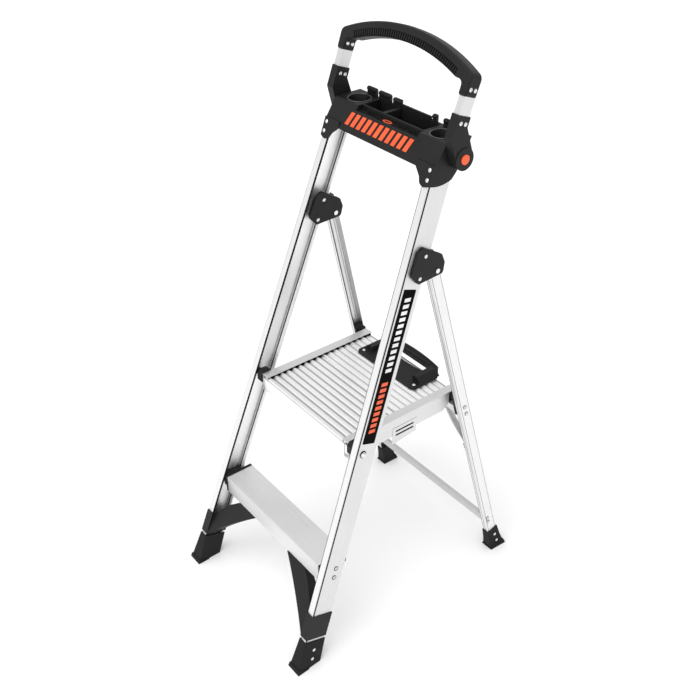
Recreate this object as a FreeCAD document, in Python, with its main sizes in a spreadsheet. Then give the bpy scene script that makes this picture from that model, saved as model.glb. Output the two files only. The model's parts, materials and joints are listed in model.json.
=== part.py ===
"""Two-step platform ladder with a tool tray and a folding grab rail.

Millimetres, +Z up, +X to the climber's right, climbing side towards -Y.
The origin is on the ground, in the middle of the ladder's bounding box.
"""

import FreeCAD, Part

import math
import os

import Sketcher

V = FreeCAD.Vector
Placement = FreeCAD.Placement
Rotation = FreeCAD.Rotation
X_AXIS = V(1, 0, 0)
Y_AXIS = V(0, 1, 0)
Z_AXIS = V(0, 0, 1)
SIDES = ((1, "right"), (-1, "left"))
TINY = 1e-6

# ---------------------------------------------------------------- driving dimensions
SIZES = {
    "Stance": {
        "ground_centre": 365.74,      # front rail's foot to the middle of the footprint
        "front_rake": 20.0,           # degrees from upright
        "rear_rake": 14.7,
        "splay": 3.0,                 # both pairs of rails lean inwards
        "hinge_back": 451.7,          # rear frame hinge, from the front foot
        "hinge_height": 978.2,
    },
    "Front rails": {
        "rail_foot_x": 250.4,
        "rail_depth": 60.0,
        "rail_flange": 20.0,
        "rail_wall": 2.4,
        "rail_lip": 5.0,
        "rail_bottom": 32.0,
        "rail_top": 1292.0,
        "rail_groove_width": 2.4,
        "rail_groove_depth": 1.3,
        "label_front": 10.5,
        "label_back": 48.5,
        "label_low": 645.0,
        "label_high": 1027.0,
        "label_film": 0.4,
    },
    "Tread": {
        "tread_front": 104.5,
        "tread_back": 185.0,
        "tread_top": 276.0,
        "tread_half": 204.6,
        "tread_nose": 52.0,
        "tread_heel": 28.0,
        "tread_wall": 2.5,
        "tread_lip": 10.0,
        "ridge": 1.2,
        "cap_outer": 213.0,
        "cap_tongue": 230.5,
        "cap_tongue_drop": 44.0,
    },
    "Front feet": {
        "foot_top": 90.0,
        "foot_waist": 34.0,
        "foot_skin": 2.5,
        "foot_rim": 11.0,
        "foot_rim_step": 2.5,
        "foot_toe": -12.0,
        "brace_bottom": 98.0,
        "brace_top": 168.0,
        "brace_skin": 2.6,
        "brace_arm_front": 20.0,      # under the tread; the arm leans forward to the sleeve
        "brace_arm_back": 42.0,
        "brace_arm_wall": 4.0,
        "brace_tip": 74.0,
        "brace_shoulder": 178.0,
        "brace_shoulder_up": 221.0,
    },
    "Hinge": {
        "bracket_plate": 8.0,
        "hinge_pin_radius": 4.5,
        "hinge_head_radius": 5.8,
        "hinge_head": 2.4,
        "hinge_fit": 0.06,
        "bush_radius": 8.0,
    },
    "Rear frame": {
        "rear_x": 192.5,
        "rear_depth": 32.0,
        "rear_flange": 17.0,
        "rear_wall": 1.8,
        "rear_crown": 18.0,
        "rear_length": 986.0,
        "upper_bar_up": 441.0,
        "upper_bar_down": 465.0,
        "upper_bar_front": -16.0,
        "upper_bar_back": -4.0,
        "upper_bar_half": 190.0,
        "lower_bar_up": 878.0,
        "lower_bar_down": 908.0,
        "lower_bar_front": -12.0,
        "lower_bar_back": -2.0,
        "lower_bar_half": 236.0,
        "tube_wall": 1.8,
        "support_up": 396.0,
        "support_down": 472.0,
        "strap": 3.0,
        "strap_front": -14.0,
        "strap_back": 2.0,
        "rear_foot_top": 940.0,
        "rear_foot_waist": 975.0,
        "rear_foot_rim": 1001.0,
        "knee_top_inner": 138.0,
        "knee_bottom": 600.0,
        "knee_foot": 27.0,
    },
    "Platform": {
        "pivot_back": 231.0,
        "pivot_height": 572.0,
        "deck_front": 217.0,
        "deck_split": 395.0,
        "deck_back": 561.0,
        "deck_half": 165.0,
        "deck_top": 581.0,
        "deck_skin": 2.4,
        "deck_rib": 2.6,
        "deck_pitch": 19.0,
        "deck_skirt": 40.0,
        "member_outer": 178.5,
        "member_inner": 140.0,
        "member_top": 586.0,
        "member_bottom": 536.0,
        "member_wall": 2.6,
        "member_foot": 16.0,
        "member_back": 543.0,
        "flange_inner": 154.5,        # the member's top flange covers the planks' ends
        "flange_back": 565.0,
        "block_outer": 195.2,
        "bolt_radius": 4.0,
        "bolt_head_radius": 7.5,
        "spacer_radius": 9.0,
        "hook_seat": 553.5,
        "hook_tip": 539.0,
        "hook_reach": 29.0,
        "hook_nose": 4.5,
        "hook_plug": 34.0,
    },
    "Platform grab handle": {
        "grab_front": 477.0,
        "grab_half": 104.0,
        "grab_corner": 9.0,
        "grab_plate": 4.5,
        "grab_top": 19.0,             # the bar and both end walls, above the deck
        "grab_wall_inner": 80.0,
        "grab_wall_crest": 96.0,
        "grab_wall_front": 506.0,
        "grab_bar_front": 571.0,
        "grab_bar_back": 581.0,
        "grab_bar_bow": 10.0,
        "grab_slot_half": 78.0,
        "grab_slot_side": 554.0,
        "grab_slot_front": 546.0,
    },
    "Tool tray": {
        "tray_half": 187.0,
        "tray_wall": 3.2,
        "tray_front_edge": 469.3,
        "tray_height": 1264.0,
        "tray_back": 545.0,
        "cup_x": 140.0,
        "cup_y": 504.5,
        "cup_radius": 25.5,
        "cup_rim": 30.8,
        "cup_depth": 48.0,
        "pocket_depth": 34.0,
        "ledge_drop": 11.0,
        "ledge_half": 104.0,
        "ledge_width": 15.0,
        "ledge_slot_depth": 6.0,
        "pocket_front": 18.0,
        "pocket_rear_wall": 8.0,
        "left_pocket_outer": -103.0,
        "left_pocket_inner": -38.0,
        "right_pocket_inner": -27.0,
        "right_pocket_outer": 99.0,
        "clip_thickness": 8.5,
        "clip_height": 22.0,
        "clip_root": 6.0,
        "rear_bar_height": 12.0,
        "rear_bar_root": 4.0,
    },
    "Handle": {
        "hub_back": 53.0,
        "hub_up": 1328.0,
        "hub_radius": 25.0,
        "hub_outer": 212.0,
        "arm_inner": 188.4,
        "arm_outer": 209.8,
        "socket_top": 1415.0,
        "socket_front": -3.6,
        "socket_back": 32.4,
        "post_wide": 18.0,
        "post_deep": 31.0,
        "post_wall": 2.0,
        "post_bottom": 1376.0,
        "post_top": 1490.0,
        "grip_bottom": 1452.0,
        "grip_crown": 1546.5,
        "grip_under": 1513.0,
        "grip_front": -5.2,
        "grip_back": 30.8,
        "pivot_radius": 6.0,
        "pivot_head_radius": 9.0,
        "button_radius": 11.0,
        "button_face": 214.2,
        "button_back": 206.5,
    },
    "Rivets": {
        "rivet_shank": 2.4,
        "rivet_head": 4.6,
        "rivet_height": 1.8,
        "rivet_bore": 1.3,
    },
}


class Size:
    """A value together with the spreadsheet formula that gives it."""

    def __init__(self, value, formula):
        self.value = value
        self.formula = formula

    def _join(self, other, sign, result):
        return Size(result, f"({self.formula} {sign} {as_size(other).formula})")

    def __add__(self, other):
        return self._join(other, "+", self.value + number(other))

    def __sub__(self, other):
        return self._join(other, "-", self.value - number(other))

    def __mul__(self, other):
        return self._join(other, "*", self.value * number(other))

    def __truediv__(self, other):
        return self._join(other, "/", self.value / number(other))

    def __neg__(self):
        return self * -1

    def __radd__(self, other):
        return as_size(other) + self

    def __rsub__(self, other):
        return as_size(other) - self

    def __rmul__(self, other):
        return as_size(other) * self


def as_size(thing):
    return thing if isinstance(thing, Size) else Size(float(thing), f"({float(thing):.6f})")


def number(thing):
    return thing.value if isinstance(thing, Size) else float(thing)


class Bulge:
    """A point that the round stretch between its two neighbours passes through."""

    def __init__(self, across, along):
        self.point = (across, along)


class Sheet:
    """The spreadsheet; each alias reads back as a Size."""

    def __init__(self, document):
        self.cells = document.addObject("Spreadsheet::Sheet", "Sizes")
        row = 0
        for group, values in SIZES.items():
            row += 1
            self.cells.set(f"A{row}", group)
            for alias, value in values.items():
                row += 1
                self.cells.set(f"A{row}", alias.replace("_", " "))
                self.cells.set(f"B{row}", str(value))
                self.cells.setAlias(f"B{row}", alias)
                setattr(self, alias, Size(value, f"Sizes.{alias}"))
        document.recompute()


doc = FreeCAD.newDocument("StepLadder")
d = Sheet(doc)
nodes = []

# ---------------------------------------------------------------- frames
RAKE = math.radians(number(d.front_rake))
REAR = math.radians(number(d.rear_rake))
SPLAY = math.radians(number(d.splay))
LEAN = math.tan(SPLAY)

level = Placement(V(0, -number(d.ground_centre), 0), Rotation())
front = level * Placement(V(), Rotation(X_AXIS, -number(d.front_rake)))
rear = level * Placement(
    V(0, number(d.hinge_back), number(d.hinge_height)), Rotation(X_AXIS, number(d.rear_rake))
)


def rail_frame(side):
    """Along one front rail: X from its outer face, Y back, Z up the rail."""
    lean = Rotation(Y_AXIS, -side * number(d.splay))
    return front * Placement(V(side * number(d.rail_foot_x), 0, 0), lean)


def rear_rail_frame(side):
    """Along one rear rail, from the hinge: X from its outer face, Z up the rail."""
    lean = Rotation(Y_AXIS, -side * number(d.splay))
    return rear * Placement(V(side * number(d.rear_x), 0, 0), lean)


def rail_x(up):
    """Outer face of the front rail in the front frame, at a height up the slope."""
    return d.rail_foot_x - LEAN * up


def rear_rail_x(down):
    """Outer face of the rear rail in the rear frame, at a distance below the hinge."""
    return d.rear_x + LEAN * down


def in_front_frame(back, height):
    """Level-frame back and height as depth and height in the front frame."""
    depth = back * math.cos(RAKE) - height * math.sin(RAKE)
    up = back * math.sin(RAKE) + height * math.cos(RAKE)
    return depth, up


HINGE_DEPTH, HINGE_UP = in_front_frame(d.hinge_back, d.hinge_height)
PIVOT_DEPTH, PIVOT_UP = in_front_frame(d.pivot_back, d.pivot_height)


def span(side, near, far):
    """An X range that is near..far on the right and mirrored on the left."""
    return (near, far) if side > 0 else (-far, -near)


def mirrored(side, outline):
    """An outline with its first coordinate mirrored for the left side."""
    flipped = []
    for point in outline:
        if isinstance(point, Bulge):
            flipped.append(Bulge(side * point.point[0], point.point[1]))
        else:
            flipped.append((side * point[0], point[1]))
    return flipped


# ---------------------------------------------------------------- sketch and feature helpers
PLANES = {"top": ("XY_Plane", 1), "face": ("XZ_Plane", -1), "side": ("YZ_Plane", 1)}
ORIGIN = (-1, 1)


class Rules:
    """Collects a sketch's constraints and the formulas that drive them."""

    def __init__(self):
        self.constraints = []
        self.formulas = {}

    def add(self, *facts, formula=None):
        if formula:
            self.formulas[len(self.constraints)] = formula
        self.constraints.append(Sketcher.Constraint(*facts))

    def place(self, geometry, end, across, along):
        self._coordinate("DistanceX", -2, geometry, end, as_size(across))
        self._coordinate("DistanceY", -1, geometry, end, as_size(along))

    def _coordinate(self, kind, axis, geometry, end, where):
        if abs(where.value) < TINY:
            self.add("PointOnObject", geometry, end, axis)
        elif where.value > 0:
            self.add(kind, *ORIGIN, geometry, end, where.value, formula=where.formula)
        else:
            self.add(kind, geometry, end, *ORIGIN, -where.value, formula=f"-({where.formula})")

    def apply(self, sketch):
        sketch.addConstraint(self.constraints)
        for row, formula in self.formulas.items():
            sketch.setExpression(f"Constraints[{row}]", formula)


def plain(point):
    return V(number(point[0]), number(point[1]), 0)


def arc_through(start, middle, end):
    """Counter-clockwise arc, and whether it runs from start to end."""
    circle = Part.Arc(start, middle, end).toShape().Curve
    centre = circle.Center
    angles = [math.atan2(p.y - centre.y, p.x - centre.x) for p in (start, middle, end)]
    first, mid, last = (a % math.tau for a in angles)
    forwards = (mid - first) % math.tau < (last - first) % math.tau
    low, high = (first, last) if forwards else (last, first)
    if high < low:
        high += math.tau
    return Part.ArcOfCircle(Part.Circle(centre, Z_AXIS, circle.Radius), low, high), forwards


def draw_outline(sketch, rules, outline):
    """A closed outline of lines, with round stretches where a Bulge stands."""
    corners = [i for i, point in enumerate(outline) if not isinstance(point, Bulge)]
    first = sketch.GeometryCount
    edges = []
    middles = []
    for i in corners:
        start = outline[i]
        following = outline[(i + 1) % len(outline)]
        if isinstance(following, Bulge):
            end = outline[(i + 2) % len(outline)]
            arc, forwards = arc_through(plain(start), plain(following.point), plain(end))
            edges.append((arc, (1, 2) if forwards else (2, 1)))
            middles.append((len(edges) - 1, following.point))
        else:
            edges.append((Part.LineSegment(plain(start), plain(following)), (1, 2)))
    sketch.addGeometry([edge for edge, ends in edges], False)
    for row, (edge, ends) in enumerate(edges):
        after = (row + 1) % len(edges)
        rules.add("Coincident", first + row, ends[1], first + after, edges[after][1][0])
        rules.place(first + row, ends[0], *outline[corners[row]])
    for row, point in middles:
        guide = sketch.addGeometry(Part.Point(plain(point)), True)
        rules.place(guide, 1, *point)
        rules.add("PointOnObject", guide, 1, first + row)


def draw_circle(sketch, rules, across, along, radius):
    circle = Part.Circle(V(number(across), number(along), 0), Z_AXIS, number(radius))
    row = sketch.addGeometry(circle, False)
    rules.place(row, 3, across, along)
    rules.add("Radius", row, number(radius), formula=as_size(radius).formula)


def new_body(label, placement):
    body = doc.addObject("PartDesign::Body", label)
    body.Label = label
    body.Placement = placement
    nodes.append(body)
    return body


def new_sketch(body, name, plane, offset, outlines, circles=(), tilt=None):
    """A sketch on one of the body's own planes, moved along the plane's axis."""
    role, sign = PLANES[plane]
    sketch = body.newObject("Sketcher::SketchObject", name)
    base = [f for f in body.Origin.OriginFeatures if f.Role == role][0]
    sketch.AttachmentSupport = [(base, "")]
    sketch.MapMode = "FlatFace"
    if tilt is None:
        sketch.AttachmentOffset = Placement(V(0, 0, sign * number(offset)), Rotation())
        sketch.setExpression("AttachmentOffset.Base.z", (sign * as_size(offset)).formula)
    else:
        sketch.AttachmentOffset = tilt
    rules = Rules()
    for outline in outlines:
        draw_outline(sketch, rules, outline)
    for circle in circles:
        draw_circle(sketch, rules, *circle)
    rules.apply(sketch)
    return sketch


def extrude(body, name, plane, start, end, outlines=(), circles=(), cut=False, tilt=None):
    """Pad or pocket from start to end along the plane's axis."""
    sketch = new_sketch(body, f"{name}_sketch", plane, start, outlines, circles, tilt)
    kind = "PartDesign::Pocket" if cut else "PartDesign::Pad"
    feature = body.newObject(kind, name)
    feature.Profile = sketch
    length = as_size(end) - start
    feature.Length = length.value
    feature.setExpression("Length", length.formula)
    sign = PLANES[plane][1]
    feature.Reversed = (sign > 0) if cut else (sign < 0)
    before = body.Shape.Volume if cut else 0
    doc.recompute()
    if cut and not body.Shape.Volume < before - TINY:
        raise ValueError(f"{body.Label}: {name} cuts nothing")
    return feature


def rectangle(left, right, low, high):
    return [(left, low), (right, low), (right, high), (left, high)]


def loft(body, name, sections, cut=False):
    """Straight-sided loft through (height, left, right, low, high) rectangles."""
    sketches = []
    for row, (height, left, right, low, high) in enumerate(sections):
        outline = rectangle(left, right, low, high)
        sketches.append(new_sketch(body, f"{name}_{row}", "top", height, [outline]))
    kind = "PartDesign::SubtractiveLoft" if cut else "PartDesign::AdditiveLoft"
    feature = body.newObject(kind, name)
    feature.Profile = sketches[0]
    feature.Sections = sketches[1:]
    feature.Ruled = True
    doc.recompute()
    return feature


def round_edges(body, name, radius, wanted):
    """Fillet the edges of the body's tip that the wanted test picks."""
    tip = body.Tip
    picked = [f"Edge{i}" for i, edge in enumerate(tip.Shape.Edges, 1) if wanted(edge)]
    feature = body.newObject("PartDesign::Fillet", name)
    feature.Base = (tip, picked)
    feature.Radius = number(radius)
    doc.recompute()
    return feature


def runs_along(edge, axis):
    """True for a straight edge parallel to the axis."""
    if edge.Curve.TypeId != "Part::GeomLine":
        return False
    return abs(abs(edge.tangentAt(edge.FirstParameter).dot(axis)) - 1) < TINY


def turned(label, frame, side, back, height, steps, bore=None):
    """A stepped round part along X; steps are (start, end, radius) from the middle out."""
    pieces = []
    cuts = [bore] if bore else []
    for row, (start, end, radius) in enumerate(list(steps) + cuts):
        low, high = span(side, start, end)
        cylinder = doc.addObject("Part::Cylinder", f"{label}_step_{row}")
        cylinder.setExpression("Radius", as_size(radius).formula)
        cylinder.setExpression("Height", (as_size(high) - low).formula)
        place = Placement(V(number(low), number(back), number(height)), Rotation(Z_AXIS, X_AXIS))
        cylinder.Placement = frame * place
        pieces.append(cylinder)
    solid = pieces[0]
    steps_made = pieces[:len(steps)]
    if len(steps_made) > 1:
        solid = doc.addObject("Part::MultiFuse", f"{label}_blank")
        solid.Shapes = steps_made
    if bore:
        blank = solid
        solid = doc.addObject("Part::Cut", f"{label}_bored")
        solid.Base = blank
        solid.Tool = pieces[-1]
    solid.Label = label
    nodes.append(solid)
    return solid


def rivet(grip):
    """A blind rivet whose head stands on Z = 0 and whose shank goes down by the grip."""
    shank = number(d.rivet_shank)
    head = number(d.rivet_head)
    top = number(d.rivet_height)
    bore = number(d.rivet_bore)
    rim = 0.35 * top
    profile = [
        (0, -grip), (shank, -grip), (shank, 0), (head, 0), (head, rim),
        (0.6 * head, top), (bore, top), (bore, rim), (0, rim),
    ]
    corners = [V(radius, 0, height) for radius, height in profile]
    face = Part.Face(Part.makePolygon(corners + corners[:1]))
    return face.revolve(V(), Z_AXIS, 360)


def rivet_group(label, places):
    """Identical rivets in one node; places are (placement, grip)."""
    feature = doc.addObject("Part::Feature", label)
    shapes = []
    for place, grip in places:
        shape = rivet(number(grip))
        shape.Placement = place
        shapes.append(shape)
    feature.Shape = Part.makeCompound(shapes)
    feature.Label = label
    nodes.append(feature)
    return feature


def sideways(frame, side, x, back, height, outwards=1):
    """A rivet's place on a face whose normal is along X."""
    base = V(side * number(x), number(back), number(height))
    return frame * Placement(base, Rotation(Z_AXIS, side * outwards * X_AXIS))


# ---------------------------------------------------------------- front frame
def channel(side, flange, low, high, wall, lip):
    """Open channel profile: web on the outer side, flanges pointing inwards."""
    outline = [(0, low), (0, high), (-flange, high)]
    if lip:
        outline += [(-flange, high - lip), (wall - flange, high - lip)]
        outline += [(wall - flange, high - wall), (-wall, high - wall)]
        outline += [(-wall, low + wall), (wall - flange, low + wall)]
        outline += [(wall - flange, low + lip), (-flange, low + lip)]
    else:
        outline += [(-flange, high - wall), (-wall, high - wall)]
        outline += [(-wall, low + wall), (-flange, low + wall)]
    outline.append((-flange, low))
    return mirrored(side, outline)


def front_rail(side, word):
    body = new_body(f"front_rail_{word}", rail_frame(side))
    profile = channel(side, d.rail_flange, 0, d.rail_depth, d.rail_wall, d.rail_lip)
    extrude(body, "channel", "top", d.rail_bottom, d.rail_top, [profile])
    low, high = span(side, -d.rail_groove_depth, 1)
    groove = rectangle(low, high, d.rail_wall, d.rail_wall + d.rail_groove_width)
    extrude(body, "groove", "top", d.rail_bottom, d.rail_top, [groove], cut=True)
    low, high = span(side, -2 * d.rail_wall, 1)
    hole = (PIVOT_DEPTH, PIVOT_UP / math.cos(SPLAY), d.bolt_radius + 0.3)
    extrude(body, "pivot_hole", "side", low, high, circles=[hole], cut=True)


def tread():
    body = new_body("tread", level)
    nose, heel, top = d.tread_front, d.tread_back, d.tread_top
    wall = d.tread_wall
    bottom = top - d.tread_nose
    turn_in = d.tread_lip
    profile = [
        (nose, bottom), (nose, top), (heel, top), (heel, top - d.tread_heel),
        (heel - turn_in, top - d.tread_heel), (heel - turn_in, top - d.tread_heel + wall),
        (heel - wall, top - d.tread_heel + wall), (heel - wall, top - wall),
        (nose + wall, top - wall), (nose + wall, bottom + wall),
        (nose + turn_in, bottom + wall), (nose + turn_in, bottom),
    ]
    extrude(body, "plank", "side", -d.tread_half, d.tread_half, [profile])
    ridges = []
    for place in (nose + 1, nose + 5, nose + 9, heel - 24, heel - 2):
        ridges.append(rectangle(place, place + d.ridge, top - 1, top + d.ridge * 0.7))
    extrude(body, "grip_ridges", "side", -d.tread_half, d.tread_half, ridges)


def tread_end_cap(side, word):
    body = new_body(f"tread_end_cap_{word}", level)
    nose, heel, top = d.tread_front, d.tread_back, d.tread_top
    plate = [
        (nose, top - d.tread_nose), (nose, top + 1), (heel, top + 1),
        (heel, top - d.tread_heel), (heel - 20, top - d.tread_heel - 4),
        (nose + 40, top - d.tread_nose),
    ]
    extrude(body, "plate", "side", *span(side, d.tread_half, d.cap_outer), [plate])
    low = top - d.cap_tongue_drop
    tongue = [(nose + 4, low), (nose + 4, top), (nose + 52, top), (nose + 36, low)]
    extrude(body, "tongue", "side", *span(side, d.cap_outer, d.cap_tongue), [tongue])


def rail_jacket(up, skin):
    """X and depth limits of a skin round the front rail, at a height up the slope."""
    outer = rail_x(up) + skin
    inner = rail_x(up) - d.rail_flange - skin
    return inner, outer, -skin, d.rail_depth + skin


def side_section(side, up, inner, outer, low, high):
    near, far = span(side, inner, outer)
    return up, near, far, low, high


def rail_cavity(body, side, bottom, top):
    """Cut the room that a front rail fills in a moulding."""
    sections = [side_section(side, up, *rail_jacket(up, 0)) for up in (bottom, top)]
    loft(body, "rail_cavity", sections, cut=True)


def foot_brace(side, word):
    """Sleeve round the rail with an arm that carries the front edge of the tread."""
    body = new_body(f"foot_brace_{word}", front)
    low, high, skin = d.brace_bottom, d.brace_top, d.brace_skin
    tread_gap = 1.5
    top = in_front_frame(d.tread_front, d.tread_top - d.tread_nose)[1] - tread_gap
    inner_low = rail_x(low) - d.rail_flange
    inner_high = rail_x(high) - d.rail_flange
    shoulder = (d.brace_shoulder, d.brace_shoulder_up)
    arm = [
        (inner_low, low), Bulge((inner_low + d.brace_tip) / 2 + 3, (low + top) / 2 + 3),
        (d.brace_tip, top), (150, top), shoulder, (inner_high, high),
    ]
    extrude(body, "arm", "face", -skin, d.brace_arm_back, [mirrored(side, arm)])
    slope = [(-skin - 1, low), (-skin, low), (d.brace_arm_front, top), (-skin - 1, top)]
    reach = span(side, d.brace_tip - 1, d.rail_foot_x)
    extrude(body, "sloping_front", "side", *reach, [slope], cut=True)
    hollow = [(200, 158), (112, top - 8), (146, top - 8), (174, 213), (206, 170)]
    recess = (d.brace_arm_front + d.brace_arm_wall, d.brace_arm_back + 1)
    extrude(body, "recess", "face", *recess, [mirrored(side, hollow)], cut=True)
    sleeve = [side_section(side, up, *rail_jacket(up, skin)) for up in (low, high)]
    loft(body, "sleeve", sleeve)
    rail_cavity(body, side, low - 1, high + 1)


def cut_below_ground(body, slope, low, high, level_offset):
    """Trim a foot along the ground plane, in a frame that leans by the slope."""
    rise = math.tan(slope)
    under = -60 + level_offset
    ground = [(low, rise * low + level_offset), (high, rise * high + level_offset),
              (high, under), (low, under)]
    wide = d.rail_foot_x + 60
    extrude(body, "sole", "side", -wide, wide, [ground], cut=True)


def front_foot(side, word):
    """Rubber boot: a sleeve that flares to a sole with a raised rim."""
    body = new_body(f"front_foot_{word}", front)
    step = d.foot_rim_step
    sections = []
    for up, flare_in, flare_out, proud in (
        (d.foot_top, 0, 0, 0),
        (d.foot_waist, 5, 4, 0),
        (d.foot_rim, 7.5, 5.5, 0),
        (d.foot_rim - 1, 7.5, 5.5, step),
        (d.foot_toe, 12 - step, 9 - step, step),
    ):
        inner, outer, low, high = rail_jacket(up, d.foot_skin + proud)
        sections.append(side_section(side, up, inner - flare_in, outer + flare_out, low, high))
    loft(body, "boot", sections)
    cut_below_ground(body, RAKE, -20, 90, 0)
    rail_cavity(body, side, d.rail_bottom, d.foot_top + 1)


BRACKET_OUTLINE = (
    (29, 1126), (50, 1122), (91, 1114), (107, 1096), (111, 1070),
    (42, 1041), (18, 1055), (13, 1063), (15, 1113),
)


def hinge_bracket(side, word, layer, near):
    body = new_body(f"hinge_bracket_{layer}_{word}", rail_frame(side))
    low, high = span(side, near, near + d.bracket_plate)
    extrude(body, "plate", "side", low, high, [list(BRACKET_OUTLINE)])
    round_edges(body, "corners", 8, lambda edge: runs_along(edge, X_AXIS))
    hole = (HINGE_DEPTH, HINGE_UP / math.cos(SPLAY), d.hinge_pin_radius + 0.3)
    extrude(body, "pin_hole", "side", low, high, circles=[hole], cut=True)


def rear_pivot_pin(side, word):
    inner = rail_x(HINGE_UP) - d.rail_flange - d.bracket_plate - 0.6
    outer = rail_x(HINGE_UP) + d.bracket_plate + 0.6
    steps = [
        (inner, outer, d.hinge_pin_radius),
        (inner - d.hinge_head, inner, d.hinge_head_radius),
        (outer, outer + d.hinge_head, d.hinge_head_radius),
    ]
    turned(f"rear_pivot_pin_{word}", level, side, d.hinge_back, d.hinge_height, steps)


def rail_label(side, word):
    body = new_body(f"rail_label_{word}", rail_frame(side))
    outline = rectangle(d.label_front, d.label_back, d.label_low, d.label_high)
    extrude(body, "vinyl", "side", *span(side, 0, d.label_film), [outline])
    round_edges(body, "corners", 3, lambda edge: runs_along(edge, X_AXIS))


def platform_pivot_bolt(side, word):
    web = rail_x(PIVOT_UP)
    steps = [
        (d.member_outer + 1.5, web + 0.4, d.bolt_radius),
        (web + 0.4, web + 1.6, d.bolt_head_radius),
        (web + 1.6, web + 5, d.bolt_head_radius * 0.66),
    ]
    turned(f"platform_pivot_bolt_{word}", level, side, d.pivot_back, d.pivot_height, steps)


def platform_pivot_spacer(side, word):
    web = rail_x(PIVOT_UP) - d.rail_wall - 0.6
    shelf = d.block_outer + 1
    turned(
        f"platform_pivot_spacer_{word}", level, side, d.pivot_back, d.pivot_height,
        [(shelf, web, d.spacer_radius)], bore=(shelf, web, d.bolt_radius),
    )


# ---------------------------------------------------------------- tool tray
TRAY_EDGE = in_front_frame(d.tray_front_edge, d.tray_height - 4)
TRAY_REAR = in_front_frame(d.tray_back, d.tray_height)
TRAY_BROW = in_front_frame(d.tray_front_edge + 3, d.tray_height)
PANEL_FOOT = (-4, 1285)
REAR_CLIPS = ((-150, -120), (-108, -70), (-58, -33), (74, 84), (108, 120), (128, 150))
LEDGE_SLOTS = (-62, 42, 76)


def tray_top(drop=0):
    """Sketch placement on the level top of the tray; Y is the level-frame back."""
    turn = Placement(V(), Rotation(X_AXIS, number(d.front_rake)))
    return turn * Placement(V(0, 0, number(d.tray_height) - drop), Rotation())


def tool_tray():
    body = new_body("tool_tray", front)
    half, wall = d.tray_half, d.tray_wall
    brow, rear_top = TRAY_BROW, TRAY_REAR
    shell = [
        PANEL_FOOT, TRAY_EDGE, brow, rear_top, (rear_top[0] - 6, 1322),
        (rear_top[0] - 6 - wall, 1322), (rear_top[0] - wall, rear_top[1] - wall * 1.5),
        (brow[0] + wall * 0.6, brow[1] - wall * 1.2), (PANEL_FOOT[0] + wall * 1.1, PANEL_FOOT[1]),
    ]
    extrude(body, "shell", "side", -half, half, [shell])
    cheek = [
        (-4, 1255), Bulge(30, 1260), (60, 1277), (67, 1294), (rear_top[0] - 6, 1322),
        rear_top, brow, TRAY_EDGE, PANEL_FOOT,
    ]
    for side, word in SIDES:
        extrude(body, f"cheek_{word}", "side", *span(side, half - 7, half), [cheek])
        skirt = [
            (134, 1285), (152, 1268), (158, 1256), Bulge(165, 1251.5), (173, 1250),
            (half, 1255), (half, 1300), (134, 1300),
        ]
        extrude(body, f"skirt_{word}", "face", -4, -0.5, [mirrored(side, skirt)])
    floor = d.tray_height - d.cup_depth
    back = d.tray_back
    lines = d.tray_front_edge
    cups = [(side * d.cup_x, d.cup_y, d.cup_rim) for side, word in SIDES]
    depth = number(d.tray_height - floor)
    extrude(body, "cup_walls", "top", 0, depth, circles=cups, tilt=tray_top(depth))
    box_depth = number(d.pocket_depth) + number(wall)
    box = rectangle(-106, 103, lines + 4, back - 2)
    extrude(body, "pocket_walls", "top", 0, box_depth, [box], tilt=tray_top(box_depth))
    past_front = 20
    ledge = rectangle(-d.ledge_half, d.ledge_half, lines - past_front, lines + d.ledge_width)
    drop = number(d.ledge_drop)
    extrude(body, "front_ledge", "top", 0, drop + 8, [ledge], cut=True, tilt=tray_top(drop))
    holes = [(x, y, d.cup_radius) for x, y, rim in cups]
    hole_depth = depth - number(wall)
    extrude(body, "cups", "top", 0, hole_depth + 1, circles=holes, cut=True,
            tilt=tray_top(hole_depth))
    pocket_depth = number(d.pocket_depth)
    near, far = lines + d.pocket_front, back - d.pocket_rear_wall
    pockets = [
        rectangle(d.left_pocket_outer, d.left_pocket_inner, near, far),
        rectangle(d.right_pocket_inner, d.right_pocket_outer, near, far),
    ]
    extrude(body, "pockets", "top", 0, pocket_depth + 1, pockets, cut=True,
            tilt=tray_top(pocket_depth))
    slots = [rectangle(x - 12, x + 12, lines + 6, lines + 11) for x in LEDGE_SLOTS]
    slot_floor = drop + number(d.ledge_slot_depth)
    extrude(body, "ledge_slots", "top", 0, 8, slots, cut=True, tilt=tray_top(slot_floor))
    clip_back = back - 0.5
    clips = []
    for low, high in REAR_CLIPS:
        clips.append(rectangle(low, high, clip_back - d.clip_thickness, clip_back))
    extrude(body, "rear_clips", "top", 0, d.clip_height, clips,
            tilt=tray_top(number(d.clip_root)))
    bar = [rectangle(-30, 66, back - 7, back - 2)]
    extrude(body, "rear_bar", "top", 0, d.rear_bar_height, bar,
            tilt=tray_top(number(d.rear_bar_root)))
    below_tray = 1242
    for side, word in SIDES:
        heights = (below_tray, d.rail_top + 1)
        cavity = [side_section(side, up, *rail_jacket(up, 0)) for up in heights]
        loft(body, f"rail_cavity_{word}", cavity, cut=True)
    sockets = [(d.hub_back, d.hub_up, d.pivot_radius)]
    for side, word in SIDES:
        extrude(body, f"pivot_seat_{word}", "side", *span(side, half - 8, half + 1),
                circles=sockets, cut=True)


def on_panel(depth, up, share):
    """A point on the tray's sloping front panel, and the direction out of it."""
    foot_depth, foot_up = PANEL_FOOT
    return foot_depth + (depth - foot_depth) * share, foot_up + (up - foot_up) * share


def tray_front_strip():
    body = new_body("tray_front_strip", front)
    low = on_panel(*TRAY_EDGE, 0.24)
    high = on_panel(*TRAY_EDGE, 0.78)
    proud = 0.6
    outline = [low, high, (high[0] - proud, high[1]), (low[0] - proud, low[1])]
    extrude(body, "strip", "side", -122, 112, [outline])


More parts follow.
